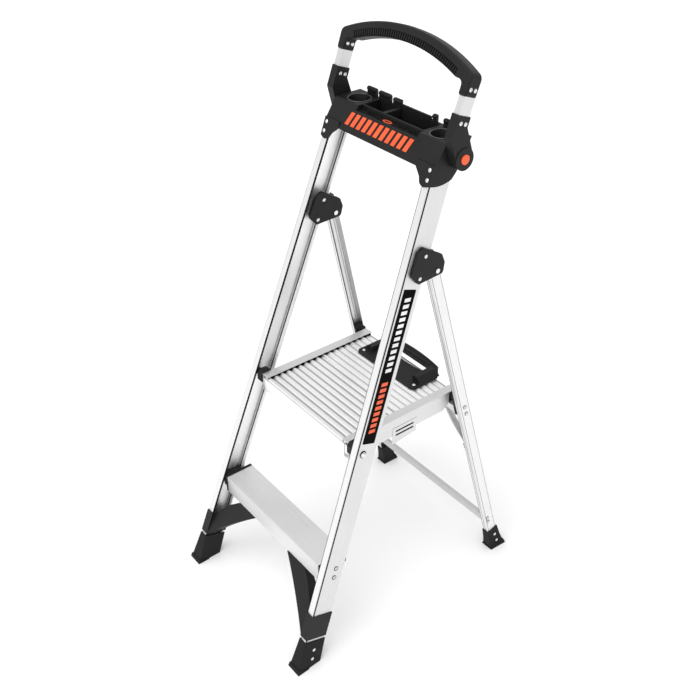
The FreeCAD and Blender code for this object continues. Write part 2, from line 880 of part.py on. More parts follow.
def tray_badge():
    body = new_body("tray_badge", front)
    x, y = -6, d.tray_front_edge + 6
    oval = [(x - 11, y - 3), Bulge(x, y - 6), (x + 11, y - 3), Bulge(x + 13.5, y),
            (x + 11, y + 3), Bulge(x, y + 6), (x - 11, y + 3), Bulge(x - 13.5, y)]
    extrude(body, "disc", "top", 0, 0.8, [oval], tilt=tray_top(number(d.ledge_drop)))


def handle_pivot_pin(side, word):
    head = d.arm_inner + 11.2
    steps = [(d.tray_half - 7, head, d.pivot_radius), (head, head + 2, d.pivot_head_radius)]
    turned(f"handle_pivot_pin_{word}", front, side, d.hub_back, d.hub_up, steps)


CAP_RIVETS = ((36, 301.5), (37.7, 275))
HINGE_RIVETS = ((41.5, 1105), (42, 1053))
FRONT_FOOT_RIVETS = ((32, 63, 4.3), (33, 36.7, 6.2))
TRAY_RIVETS = ((177.5, 1289), (178.5, 1267))


def front_frame_rivets():
    """Rivets as (depth, height) along a front rail, some with how far they stand proud."""
    places = []
    stretch = 1 / math.cos(SPLAY)
    for side, word in SIDES:
        rail = rail_frame(side)
        for depth, up in CAP_RIVETS:
            places.append((sideways(rail, side, 0, depth, up * stretch), 9))
        for depth, up in HINGE_RIVETS:
            plate = number(d.bracket_plate)
            places.append((sideways(rail, side, plate, depth, up * stretch), plate + 3))
            inner = -number(d.rail_flange) - plate
            places.append((sideways(rail, side, inner, depth, up * stretch, -1), plate))
        for depth, up, proud in FRONT_FOOT_RIVETS:
            places.append((sideways(rail, side, proud, depth, up * stretch), proud + 3))
        for x, up in TRAY_RIVETS:
            place = Placement(V(side * x, -4, up), Rotation(Z_AXIS, -1 * Y_AXIS))
            places.append((front * place, 7))
    rivet_group("front_frame_rivets", places)


# ---------------------------------------------------------------- rear frame
def rear_rail(side, word):
    body = new_body(f"rear_rail_{word}", rear_rail_frame(side))
    half = d.rear_depth / 2
    profile = channel(side, d.rear_flange, -half, half, d.rear_wall, 0)
    extrude(body, "channel", "top", -d.rear_length, d.rear_crown, [profile])
    hole = (0, 0, d.bush_radius + 0.3)
    low, high = span(side, -2 * d.rear_wall, 1)
    extrude(body, "bush_hole", "side", low, high, circles=[hole], cut=True)


def rear_pivot_bush(side, word):
    steps = [(d.rear_x - d.rear_flange, d.rear_x - 0.2, d.bush_radius)]
    turned(
        f"rear_pivot_bush_{word}", level, side, d.hinge_back, d.hinge_height, steps,
        bore=(steps[0][0], steps[0][1], d.hinge_pin_radius + d.hinge_fit),
    )


def box_tube(label, half, down, up, near, far):
    body = new_body(label, rear)
    wall = d.tube_wall
    outer = rectangle(near, far, -down, -up)
    inner = rectangle(near + wall, far - wall, wall - down, -up - wall)
    extrude(body, "tube", "side", -half, half, [outer, inner])
    return body


def rear_upper_crossbar():
    box_tube("rear_upper_crossbar", d.upper_bar_half, d.upper_bar_down, d.upper_bar_up,
             d.upper_bar_front, d.upper_bar_back)


def rear_lower_crossbar():
    box_tube("rear_lower_crossbar", d.lower_bar_half, d.lower_bar_down, d.lower_bar_up,
             d.lower_bar_front, d.lower_bar_back)


def rear_support_bracket(side, word):
    body = new_body(f"rear_support_bracket_{word}", rear)
    half = d.rear_depth / 2
    flange_edge = rear_rail_x(d.support_up) - d.rear_flange
    web = rear_rail_x(d.support_up) - d.rear_wall
    low, high = -d.support_down, -d.support_up
    plate = [(-half, low), (half - 6, low), (half, low + 10), (half, high - 16),
             (half - 12, high), (-half, high)]
    extrude(body, "plate", "side", *span(side, d.upper_bar_half, flange_edge), [plate])
    clear = d.rear_wall
    tongue = rectangle(clear - half, half - clear, low + 4, high - 4)
    extrude(body, "tongue", "side", *span(side, flange_edge, web), [tongue])


def knee_brace(side, word):
    """Bent strap from under the upper crossbar to the rear rail's flange."""
    body = new_body(f"knee_brace_{word}", rear)
    top = -d.upper_bar_down
    inner, thick, foot = d.knee_top_inner, d.strap, d.knee_foot
    bottom = -d.knee_bottom
    reach = rear_rail_x(d.knee_bottom) - d.rear_flange
    strap = [
        (inner, top), (inner, top - thick), (inner + 11, top - thick), Bulge(169, -522),
        (reach - thick, bottom + foot - 1), (reach - thick, bottom), (reach, bottom),
        (reach, bottom + foot), Bulge(173, -519), (inner + 14, top - thick / 2), (inner + 14, top),
    ]
    extrude(body, "strap", "face", d.strap_front, d.strap_back, [mirrored(side, strap)])


def rear_foot(side, word):
    body = new_body(f"rear_foot_{word}", rear)
    half = d.rear_depth / 2
    sections = []
    for down, flare_in, flare_out, flare_deep in (
        (d.rear_foot_top, 2.5, 2.5, 2.5),
        (d.rear_foot_waist, 4, 4.5, 4.5),
        (d.rear_foot_rim, 7, 8, 6.5),
        (d.rear_foot_rim + 1, 9, 10.5, 9),
        (d.rear_length + 42, 12, 14, 13),
    ):
        outer = rear_rail_x(down) + flare_out
        inner = rear_rail_x(down) - d.rear_flange - flare_in
        near, far = span(side, inner, outer)
        sections.append((-down, near, far, -half - flare_deep, half + flare_deep))
    loft(body, "shoe", sections)
    drop = number(d.hinge_height) / math.cos(REAR)
    cut_below_ground(body, -REAR, -60, 60, -drop)
    cavity = []
    for down in (d.rear_length, d.rear_foot_top - 1):
        near, far = span(side, rear_rail_x(down) - d.rear_flange, rear_rail_x(down))
        cavity.append((-down, near, far, -half, half))
    loft(body, "rail_cavity", cavity, cut=True)


UPPER_BAR_RIVETS = (443, 466)
LOWER_BAR_RIVETS = (886, 901)
KNEE_RIVETS = (584, 595)
REAR_FOOT_RIVETS = ((966, 3.9), (990, 7.0))


def rear_frame_rivets():
    """Rivets by how far down a rear rail from the hinge they stand."""
    places = []
    for side, word in SIDES:
        rail = rear_rail_frame(side)
        for down in UPPER_BAR_RIVETS:
            places.append((sideways(rail, side, 0, 0, -down), 8))
        for down in LOWER_BAR_RIVETS:
            places.append((sideways(rail, side, 0, -7, -down), 6))
        for down, proud in REAR_FOOT_RIVETS:
            places.append((sideways(rail, side, proud, 3, -down), proud + 3))
        for down in KNEE_RIVETS:
            edge = number(d.rear_flange) + number(d.strap)
            places.append((sideways(rail, side, -edge, -12, -down, -1), 5))
    rivet_group("rear_frame_rivets", places)


# ---------------------------------------------------------------- platform
def ribbed_plank(front_edge, back_edge, first, count, skirt):
    """Plank profile: a skin with a row of ribs, and a skirt under its front edge."""
    base = d.deck_top - d.deck_rib - d.deck_skin
    skin = d.deck_top - d.deck_rib
    outline = [(back_edge, base), (back_edge, skin)]
    for row in reversed(range(count)):
        middle = first + row * d.deck_pitch
        outline += [(middle + 5.5, skin), (middle + 3.5, d.deck_top)]
        outline += [(middle - 3.5, d.deck_top), (middle - 5.5, skin)]
    outline.append((front_edge, skin))
    if skirt:
        bottom = d.deck_top - d.deck_skirt
        outline += [(front_edge, bottom), (front_edge + 9, bottom), (front_edge + 9, bottom + 2)]
        outline += [(front_edge + 2.4, bottom + 2), (front_edge + 2.4, base)]
    else:
        outline.append((front_edge, base))
    return outline


def platform_deck():
    plank = new_body("platform_deck_front", level)
    outline = ribbed_plank(d.deck_front, d.deck_split - 0.6, d.deck_front + 9, 9, True)
    extrude(plank, "plank", "side", -d.deck_half, d.deck_half, [outline])
    plank = new_body("platform_deck_rear", level)
    first = d.deck_front + 9 + 9 * d.deck_pitch + 4
    outline = ribbed_plank(d.deck_split + 0.6, d.deck_back, first, 8, False)
    extrude(plank, "plank", "side", -d.deck_half, d.deck_half, [outline])


def platform_side(side, word):
    """Side member: a ledge under the planks' ends and a flange that covers them."""
    body = new_body(f"platform_side_{word}", level)
    outer, wall = d.member_outer, d.member_wall
    top, bottom = d.member_top, d.member_bottom
    ledge = d.deck_top - d.deck_rib - d.deck_skin
    section = [
        (outer, bottom), (outer, top), (outer - wall, top), (outer - wall, ledge),
        (d.member_inner, ledge), (d.member_inner, ledge - wall), (outer - wall, ledge - wall),
        (outer - wall, bottom + wall), (outer - d.member_foot, bottom + wall),
        (outer - d.member_foot, bottom),
    ]
    front_end = d.deck_front + 3
    extrude(body, "member", "face", front_end, d.member_back, [mirrored(side, section)])
    flange = rectangle(d.flange_inner, outer, top - wall, top)
    extrude(body, "flange", "face", front_end, d.flange_back, [mirrored(side, flange)])
    heel_run, heel_rise = 20, 17
    low, rear_end = bottom - 1, d.member_back + 1
    heel = [(rear_end - heel_run, low), (rear_end, low), (rear_end, low + heel_rise)]
    reach = span(side, d.member_inner - 1, outer + 1)
    extrude(body, "heel_cut", "side", *reach, [heel], cut=True)


def platform_pivot_block(side, word):
    """Moulded block on the side member that turns on the pivot bolt."""
    body = new_body(f"platform_pivot_block_{word}", level)
    y, z = d.pivot_back, d.pivot_height
    front_run, back_run, up_run, down_run, slant = 16, 18, 20, 18, 8
    outline = [
        (y - front_run, z - down_run + slant), (y - front_run, z + up_run - slant),
        (y - front_run + slant, z + up_run), (y + back_run - slant, z + up_run),
        (y + back_run, z + up_run - slant), (y + back_run, z - down_run + slant),
        (y + back_run - slant, z - down_run), (y - front_run + slant, z - down_run),
    ]
    reach = span(side, d.member_outer, d.block_outer)
    extrude(body, "block", "side", *reach, [outline])
    round_edges(body, "corners", 3, lambda edge: runs_along(edge, X_AXIS))
    bore = (y, z, d.bolt_radius + d.hinge_fit)
    extrude(body, "bore", "side", *reach, circles=[bore], cut=True)


def platform_hook(side, word):
    """Moulded hook under the flange's rear end that drops over the upper crossbar."""
    body = new_body(f"platform_hook_{word}", level)
    start, seat, tip = d.member_back, d.hook_seat, d.hook_tip
    top = d.member_top - d.member_wall
    end = start + d.hook_reach
    inner_end = end - d.hook_nose
    outline = [
        (start, seat), (start, top), (start + 18, top), (end, top - 7),
        (end, tip), (inner_end, tip), (inner_end, seat),
    ]
    extrude(body, "hook", "side", *span(side, d.deck_half + 1, d.member_outer), [outline])
    plug = rectangle(start - d.hook_plug, start + 1, seat + 3, d.deck_top - d.deck_rib - 8)
    plug_reach = span(side, d.member_outer - 10, d.member_outer - d.member_wall)
    extrude(body, "plug", "side", *plug_reach, [plug])


def platform_grab_handle():
    """Moulded handle on the deck's rear edge: a thin plate, two end walls and a bar."""
    body = new_body("platform_grab_handle", level)
    deck, half = d.deck_top, d.grab_half
    nose, corner = d.grab_front, d.grab_corner
    crest, wall = d.grab_wall_crest, d.grab_wall_inner
    bar_front, bar_back, bow = d.grab_bar_front, d.grab_bar_back, d.grab_bar_bow
    edge = half + corner
    plate = [
        (-half, nose), (half, nose), (edge, nose + corner), (edge, bar_front - corner),
        (crest, bar_back), Bulge(0, bar_back + bow), (-crest, bar_back),
        (-edge, bar_front - corner), (-edge, nose + corner),
    ]
    plate_top, top = deck + d.grab_plate, deck + d.grab_top
    extrude(body, "plate", "top", deck, plate_top, [plate])
    bar = [
        (-crest, bar_front), (crest, bar_front), (crest, bar_back),
        Bulge(0, bar_back + bow), (-crest, bar_back),
    ]
    extrude(body, "bar", "top", plate_top - 1, top, [bar])
    for side, word in SIDES:
        end_wall = [(wall, plate_top - 1), (wall, top), (crest, top), (edge - 2, plate_top - 1)]
        extrude(body, f"end_wall_{word}", "face", d.grab_wall_front, bar_front + 1,
                [mirrored(side, end_wall)])
    slot_half, slot_side = d.grab_slot_half, d.grab_slot_side
    slot = [
        (slot_half, bar_front), (-slot_half, bar_front), (-slot_half, slot_side),
        Bulge(0, d.grab_slot_front), (slot_half, slot_side),
    ]
    extrude(body, "slot", "top", deck - 1, top + 1, [slot], cut=True)


def platform_side_plate():
    body = new_body("platform_side_plate", level)
    outline = [(356, 512), (432, 520), (436, 560), (356, 560)]
    slots = [rectangle(366, 424, 546, 551), rectangle(366, 424, 534, 539)]
    low, high = d.member_outer, d.member_outer + 1.2
    extrude(body, "plate", "side", low, high, [outline])
    extrude(body, "slots", "side", low, high, slots, cut=True)


def grab_handle_rivets():
    places = []
    for side, word in SIDES:
        grip = d.grab_plate
        base = V(side * 100, 494, number(d.deck_top + grip))
        places.append((level * Placement(base, Rotation()), grip))
    rivet_group("grab_handle_rivets", places)


# ---------------------------------------------------------------- folding handle
def tangent_angle(point, side):
    """Angle on the hub circle where a line from the point touches it."""
    across = number(point[0]) - number(d.hub_back)
    along = number(point[1]) - number(d.hub_up)
    swing = math.acos(number(d.hub_radius) / math.hypot(across, along))
    return math.atan2(along, across) + side * swing


def on_hub(angle):
    return d.hub_back + d.hub_radius * math.cos(angle), d.hub_up + d.hub_radius * math.sin(angle)


def handle_socket(side, word):
    body = new_body(f"handle_socket_{word}", front)
    shin = (d.socket_front, d.socket_top - 50)
    calf = (d.socket_back, d.socket_top - 22)
    low = tangent_angle(shin, 1)
    high = tangent_angle(calf, -1) + math.tau
    outline = [
        (d.socket_front, d.socket_top), shin, on_hub(low), Bulge(*on_hub((low + high) / 2)),
        on_hub(high), calf, (d.socket_back, d.socket_top),
    ]
    extrude(body, "arm", "side", *span(side, d.arm_inner, d.arm_outer), [outline])
    hub = (d.hub_back, d.hub_up, d.hub_radius)
    extrude(body, "hub", "side", *span(side, d.arm_inner, d.hub_outer), circles=[hub])
    middle = (d.arm_inner + d.arm_outer) / 2
    depth = (d.socket_front + d.socket_back) / 2
    near, far = span(side, middle - d.post_wide / 2, middle + d.post_wide / 2)
    seat = rectangle(near, far, depth - d.post_deep / 2, depth + d.post_deep / 2)
    extrude(body, "post_seat", "top", d.post_bottom, d.socket_top + 1, [seat], cut=True)
    bore = (d.hub_back, d.hub_up, d.pivot_radius + d.hinge_fit)
    extrude(body, "pivot_bore", "side", *span(side, d.arm_inner, d.hub_outer),
            circles=[bore], cut=True)
    well = (d.hub_back, d.hub_up, d.button_radius + 0.3)
    extrude(body, "button_well", "side", *span(side, d.arm_inner + 11, d.hub_outer + 1),
            circles=[well], cut=True)


def handle_post(side, word):
    body = new_body(f"handle_post_{word}", front)
    middle = (d.arm_inner + d.arm_outer) / 2
    depth = (d.socket_front + d.socket_back) / 2
    wide, deep, wall = d.post_wide / 2, d.post_deep / 2, d.post_wall
    near, far = span(side, middle - wide, middle + wide)
    outer = rectangle(near, far, depth - deep, depth + deep)
    inner = rectangle(near + wall, far - wall, depth - deep + wall, depth + deep - wall)
    extrude(body, "tube", "top", d.post_bottom, d.post_top, [outer, inner])


def handle_grip():
    body = new_body("handle_grip", front)
    inner, outer = d.arm_inner - 1, d.arm_outer + 0.4
    bottom = d.grip_bottom
    arch = [
        (-outer, bottom), (-inner, bottom), (-inner, 1478), (-168, 1481),
        Bulge(0, d.grip_under), (168, 1481), (inner, 1478), (inner, bottom), (outer, bottom),
        (outer + 1, 1487), (201, 1503), Bulge(0, d.grip_crown), (-201, 1503), (-outer - 1, 1487),
    ]
    extrude(body, "arch", "face", d.grip_front, d.grip_back, [arch])
    middle = (d.arm_inner + d.arm_outer) / 2
    depth = (d.socket_front + d.socket_back) / 2
    for side, word in SIDES:
        near, far = span(side, middle - d.post_wide / 2, middle + d.post_wide / 2)
        seat = rectangle(near, far, depth - d.post_deep / 2, depth + d.post_deep / 2)
        extrude(body, f"post_seat_{word}", "top", bottom - 1, d.post_top, [seat], cut=True)


def release_button(side, word):
    steps = [(d.button_back, d.button_face, d.button_radius)]
    turned(f"release_button_{word}", front, side, d.hub_back, d.hub_up, steps)


def handle_rivets():
    places = []
    half = (number(d.arm_outer) - number(d.arm_inner)) / 2
    for side, word in SIDES:
        for depth, up in ((9, 1399), (23, 1399), (6, 1468), (20, 1468)):
            proud = 0.4 if up > number(d.grip_bottom) else 0
            places.append((sideways(front, side, number(d.arm_outer) + proud, depth, up), half))
            recess = number(d.arm_inner) - (1 if proud else 0)
            places.append((sideways(front, side, recess, depth, up, -1), half))
    rivet_group("handle_rivets", places)


# ---------------------------------------------------------------- assembly
def build():
    for side, word in SIDES:
        front_rail(side, word)
        tread_end_cap(side, word)
        foot_brace(side, word)
        front_foot(side, word)
        hinge_bracket(side, word, "outer", as_size(0))
        hinge_bracket(side, word, "inner", -d.rail_flange - d.bracket_plate)
        rear_pivot_pin(side, word)
        rail_label(side, word)
        platform_pivot_bolt(side, word)
        platform_pivot_spacer(side, word)
        handle_pivot_pin(side, word)
        rear_rail(side, word)
        rear_pivot_bush(side, word)
        rear_support_bracket(side, word)
        knee_brace(side, word)
        rear_foot(side, word)
        platform_side(side, word)
        platform_pivot_block(side, word)
        platform_hook(side, word)
        handle_socket(side, word)
        handle_post(side, word)
        release_button(side, word)
    tread()
    tool_tray()
    tray_front_strip()
    tray_badge()
    front_frame_rivets()
    rear_upper_crossbar()
    rear_lower_crossbar()
    rear_frame_rivets()
    platform_deck()
    platform_grab_handle()
    platform_side_plate()
    grab_handle_rivets()
    handle_grip()
    handle_rivets()


def check_document():
    for thing in doc.Objects:
        if "Invalid" in thing.State or "Error" in thing.State:
            raise ValueError(f"{thing.Label} failed: {thing.State}")
    for node in nodes:
        if node.Shape.isNull() or not node.Shape.isValid():
            raise ValueError(f"{node.Label} has no valid shape")


def export():
    os.makedirs("parts", exist_ok=True)
    for node in nodes:
        node.Shape.exportStep(f"parts/{node.Label}.step")


build()
doc.recompute()
check_document()
export()
print(len(nodes), "nodes")
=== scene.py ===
"""Looks of the two-step platform ladder: materials, moulded details, studio and camera."""

import json
import math

import bmesh
import bpy
from mathutils import Matrix, Vector


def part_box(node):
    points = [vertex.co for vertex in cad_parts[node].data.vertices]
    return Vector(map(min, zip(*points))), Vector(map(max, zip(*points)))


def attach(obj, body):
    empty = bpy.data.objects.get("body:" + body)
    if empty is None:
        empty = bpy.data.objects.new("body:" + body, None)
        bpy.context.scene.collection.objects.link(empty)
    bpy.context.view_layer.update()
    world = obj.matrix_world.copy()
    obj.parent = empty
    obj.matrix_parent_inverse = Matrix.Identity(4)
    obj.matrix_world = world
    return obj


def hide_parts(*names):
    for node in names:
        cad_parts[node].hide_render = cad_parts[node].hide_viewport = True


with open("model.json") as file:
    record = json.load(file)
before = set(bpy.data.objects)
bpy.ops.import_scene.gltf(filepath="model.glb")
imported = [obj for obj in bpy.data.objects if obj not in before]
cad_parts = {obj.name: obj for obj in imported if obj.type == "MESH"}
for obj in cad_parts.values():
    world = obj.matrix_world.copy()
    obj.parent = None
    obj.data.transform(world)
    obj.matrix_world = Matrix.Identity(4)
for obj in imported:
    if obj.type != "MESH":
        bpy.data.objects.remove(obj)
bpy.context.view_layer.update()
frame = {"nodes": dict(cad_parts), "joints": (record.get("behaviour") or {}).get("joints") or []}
JOINTS = {joint["name"]: joint for joint in frame["joints"]}
SIDES = ((1, "right"), (-1, "left"))
MM = 0.001

# ---------------------------------------------------------------- frame directions
FRONT_RAKE = math.radians(20.0)
REAR_RAKE = math.radians(14.7)
SPLAY = math.radians(3.0)
HINGE = Vector(JOINTS["rear_frame_fold"]["pos_m"])
HINGE_BACK = 451.7 * MM            # from the front rails' foot line
RAIL_FOOT_X = 250.4 * MM           # front rail's outer face at the ground
REAR_HINGE_X = 192.5 * MM          # rear rail's outer face beside the hinge

LEVEL = Matrix.Translation((0, HINGE.y - HINGE_BACK, 0))
FRONT = LEVEL @ Matrix.Rotation(-FRONT_RAKE, 4, "X")
REAR = Matrix.Translation(HINGE) @ Matrix.Rotation(REAR_RAKE, 4, "X")


def rail_frame(side):
    """Along one front rail: X out of its web, Y back, Z up the rail."""
    foot = Matrix.Translation((side * RAIL_FOOT_X, 0, 0))
    return FRONT @ foot @ Matrix.Rotation(-side * SPLAY, 4, "Y")


def rear_rail_frame(side):
    """Along one rear rail: X out of its web, Y back, Z up the rail from the hinge."""
    top = Matrix.Translation((side * REAR_HINGE_X, 0, 0))
    return REAR @ top @ Matrix.Rotation(-side * SPLAY, 4, "Y")


# ---------------------------------------------------------------- node helpers
MIX_FIRST, MIX_SECOND, MIX_RESULT = 6, 7, 2    # colour sockets of a Mix node


class Shader:
    """A material whose nodes are added one by one and wired to its Principled shader."""

    def __init__(self, name):
        self.material = bpy.data.materials.new(name)
        self.material.use_nodes = True
        self.tree = self.material.node_tree
        self.base = self.tree.nodes["Principled BSDF"]
        self.place = self.add("ShaderNodeTexCoord").outputs["Object"]

    def add(self, kind, **values):
        node = self.tree.nodes.new(kind)
        for key, value in values.items():
            setattr(node, key, value)
        return node

    def wire(self, source, target):
        self.tree.links.new(source, target)

    def stretched(self, scale, turn=(0, 0, 0)):
        """Object coordinates turned, then scaled, so a pattern can run along a part."""
        mapping = self.add("ShaderNodeMapping", vector_type="TEXTURE")
        self.wire(self.place, mapping.inputs["Vector"])
        mapping.inputs["Rotation"].default_value = turn
        mapping.inputs["Scale"].default_value = [1 / part for part in scale]
        return mapping.outputs["Vector"]

    def noise(self, where, scale, detail=4.0, roughness=0.55):
        node = self.add("ShaderNodeTexNoise")
        self.wire(where, node.inputs["Vector"])
        node.inputs["Scale"].default_value = scale
        node.inputs["Detail"].default_value = detail
        node.inputs["Roughness"].default_value = roughness
        return node.outputs["Fac"]

    def ramp(self, source, stops):
        node = self.add("ShaderNodeValToRGB")
        self.wire(source, node.inputs["Fac"])
        elements = node.color_ramp.elements
        while len(elements) < len(stops):
            elements.new(0.5)
        for element, (position, colour) in zip(elements, stops):
            element.position = position
            element.color = colour if len(colour) == 4 else (*colour, 1)
        return node.outputs["Color"]

    def spread(self, source, low, high):
        node = self.add("ShaderNodeMapRange")
        self.wire(source, node.inputs["Value"])
        node.inputs["To Min"].default_value = low
        node.inputs["To Max"].default_value = high
        return node.outputs["Result"]

    def maths(self, first, second, kind="ADD"):
        """One Math node; each term is a number or a socket."""
        node = self.add("ShaderNodeMath", operation=kind)
        for slot, term in zip(node.inputs, (first, second)):
            if isinstance(term, (int, float)):
                slot.default_value = term
            else:
                self.wire(term, slot)
        return node.outputs[0]

    def local(self, place):
        """Millimetres along X, Y and Z of a frame given by its matrix."""
        turned = self.add("ShaderNodeVectorMath", operation="SUBTRACT")
        self.wire(self.place, turned.inputs[0])
        turned.inputs[1].default_value = place.translation
        spin = self.add("ShaderNodeVectorRotate", rotation_type="EULER_XYZ", invert=True)
        self.wire(turned.outputs[0], spin.inputs["Vector"])
        spin.inputs["Rotation"].default_value = place.to_euler()
        split = self.add("ShaderNodeSeparateXYZ")
        self.wire(spin.outputs["Vector"], split.inputs[0])
        return [self.maths(axis, 1 / MM, "MULTIPLY") for axis in split.outputs]

    def band(self, value, low, high, soft=0.25):
        """1 between low and high, 0 outside."""
        middle, half = (low + high) / 2, (high - low) / 2
        away = self.maths(self.maths(value, middle, "SUBTRACT"), 0.0, "ABSOLUTE")
        node = self.add("ShaderNodeMapRange", interpolation_type="SMOOTHSTEP")
        self.wire(away, node.inputs["Value"])
        node.inputs["From Min"].default_value = half + soft
        node.inputs["From Max"].default_value = max(half - soft, 0.0)
        return node.outputs["Result"]

    def over(self, colour, paint, mask):
        """A colour painted over another where the mask is 1."""
        mix = self.add("ShaderNodeMix", data_type="RGBA")
        self.wire(mask, mix.inputs["Factor"])
        self.wire(colour, mix.inputs[MIX_FIRST])
        mix.inputs[MIX_SECOND].default_value = (*paint, 1)
        return mix.outputs[MIX_RESULT]

    def times(self, first, second):
        """Two colours multiplied."""
        mix = self.add("ShaderNodeMix", data_type="RGBA", blend_type="MULTIPLY")
        mix.inputs["Factor"].default_value = 1.0
        self.wire(first, mix.inputs[MIX_FIRST])
        self.wire(second, mix.inputs[MIX_SECOND])
        return mix.outputs[MIX_RESULT]

    def bump(self, height, distance, strength):
        node = self.add("ShaderNodeBump")
        node.inputs["Distance"].default_value = distance
        node.inputs["Strength"].default_value = strength
        self.wire(height, node.inputs["Height"])
        return node.outputs["Normal"]


def grey(level, warmth=0.0):
    return (level * (1 + warmth), level, level * (1 - warmth))


# ---------------------------------------------------------------- materials
METAL = 0.82                       # share of metal in the aluminium's finish
DIE_LINES = 520                    # scale of the noise across an extrusion, per metre
# Painted shade in the grooves between the deck's ribs.
DECK_GROOVE_SHADE = {"first_rib": 226.0, "pitch": 19.0, "width": 4.5, "tone": 0.36, "skin": 577.9,
                "reach": 400.0, "rise": 20.0}
# Painted light and shade along the front rails: lines lighter or darker than the metal, standing
# in for highlights, shadows and dark reflections.
# Each line is where it starts and ends across the rail, its grey level, and how far out from
# the web's outer face it starts and ends (everywhere if that is left out), in millimetres.
RAIL_PAINTED_LIGHT_AND_SHADE = (
    (-1.0, 0.6, 0.82, None),             # front face painted lighter: painted highlight
    (-1.0, 1.5, 0.55, (-1.4, 1.0)),      # outer corner painted darker: painted shade
    (4.7, 52.0, 1.0, (-16.5, -0.8)),     # inside of the web painted lighter: painted light
    (0.8, 5.2, 0.004, (-9.0, 5.0)),      # groove beside the corner painted nearly black: painted shade in the groove
    (-2.0, 6.0, 0.01, (-21.5, -18.3)),   # painted shadow along the front lip's edge
    (7.0, 8.6, 0.3, (-16.5, -0.8)),      # painted shade line inside the web
    (52.0, 61.0, 0.97, (-21.5, -8.5)),   # rear flange painted lighter: painted light
    (53.0, 59.0, 0.01, (-9.0, -4.6)),    # painted shadow in the rear corner
)
# Painted shade on the rear rails: dark lines along them, in the same columns as above.
REAR_RAIL_PAINTED_SHADE = (
    (-12.6, -11.2, 0.12, (-3.0, 5.0)),
    (11.6, 12.8, 0.2, (-3.0, 5.0)),
    (-17.0, -12.0, 0.05, (-18.0, -15.2)),
    (-17.0, -12.0, 0.35, (-10.0, -7.8)),
    (-5.5, -4.0, 0.25, (-9.0, -0.8)),
    (4.5, 6.0, 0.3, (-9.0, -0.8)),
)


def paint_groove_shade(shader, colour, first_rib, pitch, width, tone, skin, reach, rise):
    """Painted shade: grey in the grooves half way between the ribs, on the top of the deck only.
    """
    across, up = shader.local(LEVEL)[1:]
    turns = shader.maths(shader.maths(across, first_rib, "SUBTRACT"), 1.0 / pitch, "MULTIPLY")
    phase = shader.maths(turns, 0.0, "FRACT")
    half = width / pitch / 2
    groove_shade = shader.band(phase, 0.5 - half, 0.5 + half, half)
    past_edge = first_rib - pitch / 2 + 1.5
    behind_edge = shader.band(across, past_edge, first_rib + reach)
    mask = shader.maths(groove_shade, behind_edge, "MULTIPLY")
    upper = shader.band(up, skin, skin + rise)
    return shader.over(colour, grey(tone), shader.maths(mask, upper, "MULTIPLY"))


def paint_light_and_shade(shader, colour, place, web, light_and_shade_lines):
    """Painted light and shade: lighter and darker lines painted along a splayed rail whose web
    stands at a given X.
    """
    beside, across, up = shader.local(place)
    spread = shader.maths(up, math.tan(SPLAY), "MULTIPLY")
    level_x = shader.maths(shader.maths(beside, 0.0, "ABSOLUTE"), spread)
    outward = shader.maths(level_x, web / MM, "SUBTRACT")
    for low, high, tone, outwards in light_and_shade_lines:
        mask = shader.band(across, low, high)
        if outwards:
            mask = shader.maths(mask, shader.band(outward, *outwards), "MULTIPLY")
        colour = shader.over(colour, grey(tone), mask)
    return colour


def aluminium(name, turn, level=0.74, streak=(1, 1, 0.02), place=None, web=0.0, light_and_shade_lines=(),
              groove_shade=None):
    """Extruded mill aluminium: die lines along the part, handling marks, painted light and shade
    along the rails and painted shade in the deck's grooves.
    """
    shader = Shader(name)
    along = shader.stretched([DIE_LINES * part for part in streak], turn)
    die = shader.noise(along, 1.0, 3.0)
    broad = shader.noise(shader.stretched((9, 9, 9)), 1.0, 5.0)
    scuff = shader.noise(shader.stretched((60, 60, 60)), 1.0, 6.0, 0.7)
    colour = shader.ramp(die, [(0.25, grey(level * 0.95)), (0.75, grey(level * 1.03))])
    tone = shader.ramp(broad, [(0.3, grey(0.96)), (0.7, grey(1.0))])
    colour = shader.times(colour, tone)
    # painted light and shade along the rails
    if light_and_shade_lines:
        colour = paint_light_and_shade(shader, colour, place, web, light_and_shade_lines)
    # painted shade in the deck's grooves
    if groove_shade:
        colour = paint_groove_shade(shader, colour, **groove_shade)
    shader.wire(colour, shader.base.inputs["Base Color"])
    shader.wire(shader.spread(scuff, 0.34, 0.50), shader.base.inputs["Roughness"])
    shader.base.inputs["Metallic"].default_value = METAL
    shader.wire(shader.bump(die, 0.00025, 0.35), shader.base.inputs["Normal"])
    return shader.material


def moulded(name, level, rough=(0.42, 0.58), grain=1400, depth=0.00012, gloss=0.22):
    """Moulded plastic, rubber or film: fine spark grain, with slightly worn tone."""
    shader = Shader(name)
    fine = shader.noise(shader.stretched((grain, grain, grain)), 1.0, 2.0)
    cloud = shader.noise(shader.stretched((22, 22, 22)), 1.0, 5.0)
    colour = shader.ramp(cloud, [(0.3, grey(level * 0.85)), (0.7, grey(level * 1.2, 0.01))])
    shader.wire(colour, shader.base.inputs["Base Color"])
    shader.wire(shader.spread(cloud, *rough), shader.base.inputs["Roughness"])
    shader.wire(shader.bump(fine, depth, 0.6), shader.base.inputs["Normal"])
    shader.base.inputs["Specular IOR Level"].default_value = gloss
    return shader.material


def plated_steel():
    shader = Shader("zinc_plated_steel")
    cloud = shader.noise(shader.stretched((160, 160, 160)), 1.0, 4.0)
    colour = shader.ramp(cloud, [(0.3, grey(0.72)), (0.7, grey(0.86, 0.01))])
    shader.wire(colour, shader.base.inputs["Base Color"])
    shader.wire(shader.spread(cloud, 0.18, 0.34), shader.base.inputs["Roughness"])
    shader.base.inputs["Metallic"].default_value = 1.0
    return shader.material


